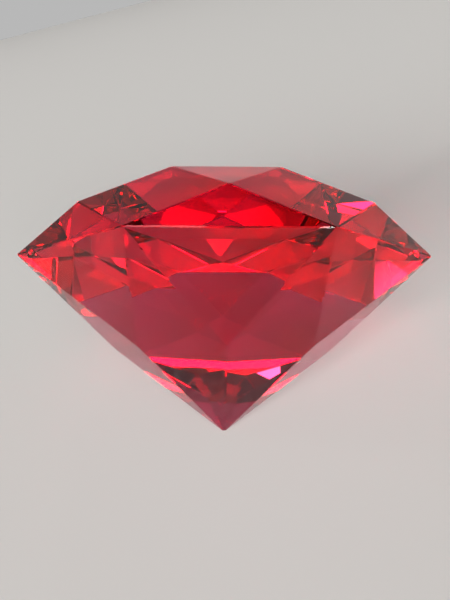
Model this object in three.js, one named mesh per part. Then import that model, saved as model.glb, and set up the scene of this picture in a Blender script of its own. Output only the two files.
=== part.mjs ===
// A cut ruby: a loose eight-sided brilliant, one solid crystal with flat facets.
// The girdle is a knife edge, and the stone lies on one facet of its pavilion, as a loose stone does.
// Millimetres, +Z up, origin under the middle of the girdle, on the surface that the stone lies on.
import * as THREE from "three";
import { ConvexGeometry } from "three/addons/geometries/ConvexGeometry.js";

// Driving dimensions. Each radius runs from the stone's own axis to a corner, heights start at the girdle.
const FOLD = 8;
const GIRDLE_RADIUS = 4;
const TABLE_RADIUS = 2.42;
const TABLE_HEIGHT = 1.405;
const STAR_RADIUS = 3.46;
const CULET_DEPTH = 3.205;
const BREAK_RADIUS = 2.16;

// The corners between two mains stand half a step round from the mains.
const HALF_STEP = Math.PI / FOLD;

// Crown mains rise in one plane from a girdle corner to a table corner,
// and pavilion mains fall in one plane from a girdle corner to the culet.
const CROWN_SLOPE = TABLE_HEIGHT / (GIRDLE_RADIUS - TABLE_RADIUS);
const PAVILION_SLOPE = CULET_DEPTH / GIRDLE_RADIUS;
const PAVILION_ANGLE = Math.atan(PAVILION_SLOPE);

// How far along a main's own line a corner between two mains reaches inside the girdle.
function insideGirdle(radius) {
  return GIRDLE_RADIUS - radius * Math.cos(HALF_STEP);
}

// One ring of corners at a height on the axis, turned round by an angle.
function ring(radius, height, turn) {
  return Array.from({ length: FOLD }, (_, k) => {
    const angle = 2 * HALF_STEP * k + turn;
    return new THREE.Vector3(radius * Math.cos(angle), radius * Math.sin(angle), height);
  });
}

// The crown: the table, eight star facets, eight kite-shaped mains and eight break facets.
function crownCorners() {
  const starHeight = CROWN_SLOPE * insideGirdle(STAR_RADIUS);
  return [...ring(TABLE_RADIUS, TABLE_HEIGHT, 0), ...ring(STAR_RADIUS, starHeight, HALF_STEP)];
}

// The pavilion: eight break facets under the girdle and eight mains that meet at the culet.
function pavilionCorners() {
  const breakDepth = PAVILION_SLOPE * insideGirdle(BREAK_RADIUS);
  return [...ring(BREAK_RADIUS, -breakDepth, HALF_STEP), new THREE.Vector3(0, 0, -CULET_DEPTH)];
}

// The whole stone is the convex body through its corners, table up, girdle level.
function stoneGeometry() {
  return new ConvexGeometry([...crownCorners(), ...ring(GIRDLE_RADIUS, 0, 0), ...pavilionCorners()]);
}

const rubyRed = new THREE.MeshStandardMaterial({ color: 0xe3122f, roughness: 0.03, metalness: 0 });

const stone = new THREE.Mesh(stoneGeometry(), rubyRed);
stone.name = "cut_ruby";

// It leans back by the pavilion's angle, so that the main on its +Y side lies flat on the surface.
stone.rotation.x = -PAVILION_ANGLE;
stone.position.z = CULET_DEPTH * Math.cos(PAVILION_ANGLE);

const ruby = new THREE.Group();
ruby.add(stone);

export default ruby;
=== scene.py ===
import bpy
import math
from mathutils import Matrix, Vector


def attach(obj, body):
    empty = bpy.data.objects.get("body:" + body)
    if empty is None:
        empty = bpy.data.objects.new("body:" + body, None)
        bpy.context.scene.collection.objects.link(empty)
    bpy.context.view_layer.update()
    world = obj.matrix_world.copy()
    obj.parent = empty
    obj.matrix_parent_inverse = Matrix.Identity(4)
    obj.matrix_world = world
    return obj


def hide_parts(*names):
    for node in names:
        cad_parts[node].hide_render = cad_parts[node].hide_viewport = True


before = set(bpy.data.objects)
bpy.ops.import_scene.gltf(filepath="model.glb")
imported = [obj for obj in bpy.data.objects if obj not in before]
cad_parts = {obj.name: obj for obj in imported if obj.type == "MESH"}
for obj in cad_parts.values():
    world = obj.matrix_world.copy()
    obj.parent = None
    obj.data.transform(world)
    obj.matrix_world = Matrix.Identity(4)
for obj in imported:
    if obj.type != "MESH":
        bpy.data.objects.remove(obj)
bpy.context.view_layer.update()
scene = bpy.context.scene
mm = 0.001


def linearColour(hexCode, alpha=1.0):
    channels = [int(hexCode[i:i + 2], 16) / 255 for i in (1, 3, 5)]
    linear = [c / 12.92 if c <= 0.04045 else ((c + 0.055) / 1.055) ** 2.4 for c in channels]
    return (*linear, alpha)


def addNode(tree, kind, settings, links):
    node = tree.nodes.new(kind)
    for name, value in settings.items():
        if name in node.inputs:
            node.inputs[name].default_value = value
        else:
            setattr(node, name, value)
    for name, socket in links.items():
        tree.links.new(socket, node.inputs[name])
    return node


def deselectAll():
    if bpy.context.object and bpy.context.object.mode != "OBJECT":
        bpy.ops.object.mode_set(mode="OBJECT")
    bpy.ops.object.select_all(action="DESELECT")


def direction(azimuth, elevation):
    a, e = math.radians(azimuth), math.radians(elevation)
    return Vector((math.sin(a) * math.cos(e), -math.cos(a) * math.cos(e), math.sin(e)))


# The cut, in millimetres. Radii run from the stone's own axis to a corner, heights start at the girdle.
stoneCut = {
    "fold": 8,
    "girdleRadius": 4.0,
    "tableRadius": 2.42,
    "tableHeight": 1.405,
    "starRadius": 3.46,
    "culetDepth": 3.205,
    "breakRadius": 2.16,
    "blankSides": 64,
    "blankRadius": 4.4,
    "blankHeight": 9.0,
    "easedEdge": 0.016,
    "planeSlack": 0.00001,
    "mergeGap": 0.004,
    "shortEdge": 0.002,
    "easedMergeGap": 0.0005,
}


# A facet is a plane at a slope to the girdle, at an azimuth round the axis, through one point that is
# given by its distance from the axis and its height. Everything outside it is ground away.
def grindFacet(slope, azimuth, radius, height, slack):
    normal = Vector((
        math.sin(slope) * math.cos(azimuth),
        math.sin(slope) * math.sin(azimuth),
        math.cos(slope),
    ))
    point = Vector((radius * math.cos(azimuth), radius * math.sin(azimuth), height))
    bpy.ops.mesh.select_all(action="SELECT")
    bpy.ops.mesh.bisect(
        plane_co=point, plane_no=normal, use_fill=True, clear_outer=True, threshold=slack
    )


def cutStone(cut):
    halfStep = math.pi / cut["fold"]
    slack = cut["planeSlack"]
    edge = cut["girdleRadius"] * math.cos(halfStep)
    mainSlope = math.atan2(cut["tableHeight"], cut["girdleRadius"] - cut["tableRadius"])
    starEdge = cut["starRadius"] * math.cos(halfStep)
    starHeight = math.tan(mainSlope) * (cut["girdleRadius"] - starEdge)
    starSlope = math.atan2(
        cut["tableHeight"] - starHeight, cut["starRadius"] - cut["tableRadius"] * math.cos(halfStep)
    )
    crownBreakSlope = math.atan2(starHeight, edge - cut["starRadius"])
    lowerMainSlope = math.atan2(cut["culetDepth"], cut["girdleRadius"])
    breakEdge = cut["breakRadius"] * math.cos(halfStep)
    breakDepth = math.tan(lowerMainSlope) * (cut["girdleRadius"] - breakEdge)
    lowerBreakSlope = math.atan2(breakDepth, edge - cut["breakRadius"])

    deselectAll()
    bpy.ops.mesh.primitive_cylinder_add(
        vertices=cut["blankSides"], radius=cut["blankRadius"], depth=cut["blankHeight"]
    )
    stone = bpy.context.object
    stone.name = "ruby_stone"
    bpy.ops.object.mode_set(mode="EDIT")
    for k in range(cut["fold"]):
        grindFacet(math.pi - lowerMainSlope, 2 * halfStep * k, cut["girdleRadius"], 0, slack)
    for k in range(cut["fold"]):
        grindFacet(math.pi - lowerBreakSlope, 2 * halfStep * (k + 0.5), edge, 0, slack)
    for k in range(cut["fold"]):
        grindFacet(mainSlope, 2 * halfStep * k, cut["girdleRadius"], 0, slack)
    for k in range(cut["fold"]):
        grindFacet(crownBreakSlope, 2 * halfStep * (k + 0.5), edge, 0, slack)
    for k in range(cut["fold"]):
        grindFacet(starSlope, 2 * halfStep * (k + 0.5), cut["starRadius"], starHeight, slack)
    grindFacet(0, 0, 0, cut["tableHeight"], slack)
    bpy.ops.mesh.select_all(action="SELECT")
    bpy.ops.mesh.remove_doubles(threshold=cut["mergeGap"])
    bpy.ops.mesh.dissolve_degenerate(threshold=cut["shortEdge"])
    bpy.ops.mesh.normals_make_consistent(inside=False)
    bpy.ops.object.mode_set(mode="OBJECT")
    print("stone cut:", len(stone.data.polygons), "facets,", len(stone.data.vertices), "corners")
    return stone


# A polished edge is never perfectly sharp: each one is eased by under two hundredths of a millimetre.
def easeEdges(stone, cut):
    bpy.ops.object.mode_set(mode="EDIT")
    bpy.ops.mesh.select_all(action="SELECT")
    bpy.ops.mesh.bevel(offset=cut["easedEdge"], offset_type="OFFSET", segments=1, clamp_overlap=True)
    bpy.ops.mesh.select_all(action="SELECT")
    bpy.ops.mesh.remove_doubles(threshold=cut["easedMergeGap"])
    bpy.ops.mesh.normals_make_consistent(inside=False)
    bpy.ops.object.mode_set(mode="OBJECT")
    print("edges eased:", len(stone.data.polygons), "faces")


# It leans back until the pavilion main on its +Y side lies flat, then it is brought to metres.
def layDown(stone, cut):
    lean = math.atan2(cut["culetDepth"], cut["girdleRadius"])
    stone.rotation_euler = (-lean, 0, 0)
    stone.location = (0, 0, cut["culetDepth"] * math.cos(lean))
    bpy.ops.object.transform_apply(location=True, rotation=True, scale=True)
    stone.scale = (mm, mm, mm)
    bpy.ops.object.transform_apply(location=True, rotation=True, scale=True)


# Clear crystal with smooth faces: the red comes from its depth alone.
def rubyMaterial(finish):
    material = bpy.data.materials.new("ruby")
    material.use_nodes = True
    tree = material.node_tree
    tree.nodes.clear()
    crystal = addNode(tree, "ShaderNodeBsdfPrincipled", {
        "Base Color": linearColour(finish["surface"]),
        "Metallic": 0.0,
        "Roughness": finish["roughness"],
        "IOR": finish["ior"],
        "Transmission Weight": 1.0,
    }, {})
    depth = addNode(tree, "ShaderNodeVolumeAbsorption", {
        "Color": linearColour(finish["passed"]),
        "Density": finish["density"],
    }, {})
    addNode(tree, "ShaderNodeOutputMaterial", {}, {
        "Surface": crystal.outputs[0],
        "Volume": depth.outputs[0],
    })
    return material


# Corundum coloured by chromium, cut and polished to a glassy face, so its red deepens with thickness.
# Ruby's own index is about 1.77, and what is seen through the stone fits 1.41, so 1.41 is used.
rubyFinish = {
    "surface": "#ffffff",
    "roughness": 0.0,
    "ior": 1.41,
    "passed": "#f730a4",
    "density": 600.0,
}

stone = cutStone(stoneCut)
easeEdges(stone, stoneCut)
layDown(stone, stoneCut)
stone.data.materials.append(rubyMaterial(rubyFinish))
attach(stone, "root")
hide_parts("cut_ruby")
print("stone laid down")

# A plain pale table top, a hair under the stone so that the two faces don't touch. Further out, the
# floor behind the stone gets darker, and its edge would show as a line against the room.
floorLook = {
    "radius": 400,
    "sides": 128,
    "drop": 0.03,
    "colour": "#dcd9d5",
    "roughness": 0.9,
    "gloss": 0.2,
}


def layFloor(look):
    deselectAll()
    bpy.ops.mesh.primitive_circle_add(
        vertices=look["sides"],
        radius=look["radius"] * mm,
        fill_type="NGON",
        location=(0, 0, -look["drop"] * mm),
    )
    floor = bpy.context.object
    floor.name = "floor"
    bpy.ops.object.transform_apply(location=True, rotation=True, scale=True)
    material = bpy.data.materials.new("pale_floor")
    material.use_nodes = True
    shader = material.node_tree.nodes["Principled BSDF"]
    shader.inputs["Base Color"].default_value = linearColour(look["colour"])
    shader.inputs["Roughness"].default_value = look["roughness"]
    shader.inputs["Specular IOR Level"].default_value = look["gloss"]
    floor.data.materials.append(material)
    return floor


floor = layFloor(floorLook)

# The camera is on the line that the stone was pictured on: 9.4 degrees under its girdle plane,
# 21.2 degrees round its axis from the -Y side, three girdle radii away, the stone's axis upright.
cameraPlace = {
    "turn": 21.21,
    "under": 9.44,
    "distance": 11.924,
    "lens": 35.13,
    "shiftX": 0.0018,
    "shiftY": -0.0508,
    "sensor": 36,
    "nearest": 0.5,
    "farthest": 10000,
}


def stoneFrame(cut):
    lean = math.atan2(cut["culetDepth"], cut["girdleRadius"])
    return Matrix.Rotation(-lean, 3, "X"), Vector((0, 0, cut["culetDepth"] * math.cos(lean)))


def addCamera(place, cut):
    turned, girdleCentre = stoneFrame(cut)
    back = turned @ direction(place["turn"], -place["under"])
    up = turned @ Vector((0, 0, 1))
    right = up.cross(back).normalized()
    up = back.cross(right)
    camera = bpy.data.cameras.new("camera")
    camera.sensor_width = place["sensor"]
    camera.lens = place["lens"]
    camera.shift_x = place["shiftX"]
    camera.shift_y = place["shiftY"]
    camera.clip_start = place["nearest"] * mm
    camera.clip_end = place["farthest"] * mm
    holder = bpy.data.objects.new("camera", camera)
    scene.collection.objects.link(holder)
    holder.matrix_world = Matrix.Translation((girdleCentre + back * place["distance"]) * mm) @ Matrix(
        (right, up, back)
    ).transposed().to_4x4()
    scene.camera = holder


addCamera(cameraPlace, stoneCut)
print("camera placed")


# Each light is a white soft box at an azimuth and elevation from the stone, facing it.
def addSoftBox(box, distance):
    light = bpy.data.lights.new(box["name"], "AREA")
    light.shape = "RECTANGLE"
    light.size = box["width"] * mm
    light.size_y = box["height"] * mm
    light.energy = box["watts"]
    holder = bpy.data.objects.new(box["name"], light)
    scene.collection.objects.link(holder)
    away = direction(box["azimuth"], box["elevation"])
    holder.location = away * distance * mm
    holder.rotation_mode = "QUATERNION"
    holder.rotation_quaternion = away.to_track_quat("Z", "Y")
    holder.visible_camera = False


# The wide low box in front makes the bright facets, and the floor behind the stone lies in its shadow.
# The strip and the two small lamps give the right tip, the culet and the upper corner their glints.
lightDistance = 3000
softBoxes = [
    {"name": "front_box", "azimuth": 12, "elevation": 11.5, "width": 4260, "height": 1160, "watts": 260},
    {"name": "upper_box", "azimuth": 22, "elevation": 36, "width": 2400, "height": 1260, "watts": 30},
    {"name": "side_strip", "azimuth": -90, "elevation": 14, "width": 360, "height": 1200, "watts": 4.5},
    {"name": "rear_lamp", "azimuth": -162, "elevation": 48, "width": 190, "height": 190, "watts": 0.8},
    {"name": "corner_lamp", "azimuth": -31, "elevation": 13, "width": 380, "height": 310, "watts": 30},
]
for softBox in softBoxes:
    addSoftBox(softBox, lightDistance)
print("lights set:", len(softBoxes))

# The room is pale near the horizon and darker overhead.
roomLook = {
    "colour": "#ffffff",
    "horizon": 0.48,
    "overhead": 0.05,
    "fadeFrom": 0.1,
    "fadeTo": 0.6,
}


def paintRoom(look):
    world = bpy.data.worlds.new("world")
    scene.world = world
    world.use_nodes = True
    tree = world.node_tree
    tree.nodes.clear()
    place = addNode(tree, "ShaderNodeTexCoord", {}, {})
    height = addNode(tree, "ShaderNodeSeparateXYZ", {}, {"Vector": place.outputs["Generated"]})
    fade = addNode(tree, "ShaderNodeMapRange", {
        "From Min": look["fadeFrom"],
        "From Max": look["fadeTo"],
        "To Min": look["horizon"],
        "To Max": look["overhead"],
    }, {"Value": height.outputs["Z"]})
    glow = addNode(tree, "ShaderNodeBackground", {
        "Color": linearColour(look["colour"]),
    }, {"Strength": fade.outputs["Result"]})
    addNode(tree, "ShaderNodeOutputWorld", {}, {"Surface": glow.outputs[0]})


paintRoom(roomLook)

# Light turns many times inside a cut stone before it leaves.
lightTurns = {
    "inAll": 24,
    "throughGlass": 24,
    "offGloss": 12,
}
scene.cycles.max_bounces = lightTurns["inAll"]
scene.cycles.transmission_bounces = lightTurns["throughGlass"]
scene.cycles.glossy_bounces = lightTurns["offGloss"]
scene.view_settings.view_transform = "Standard"
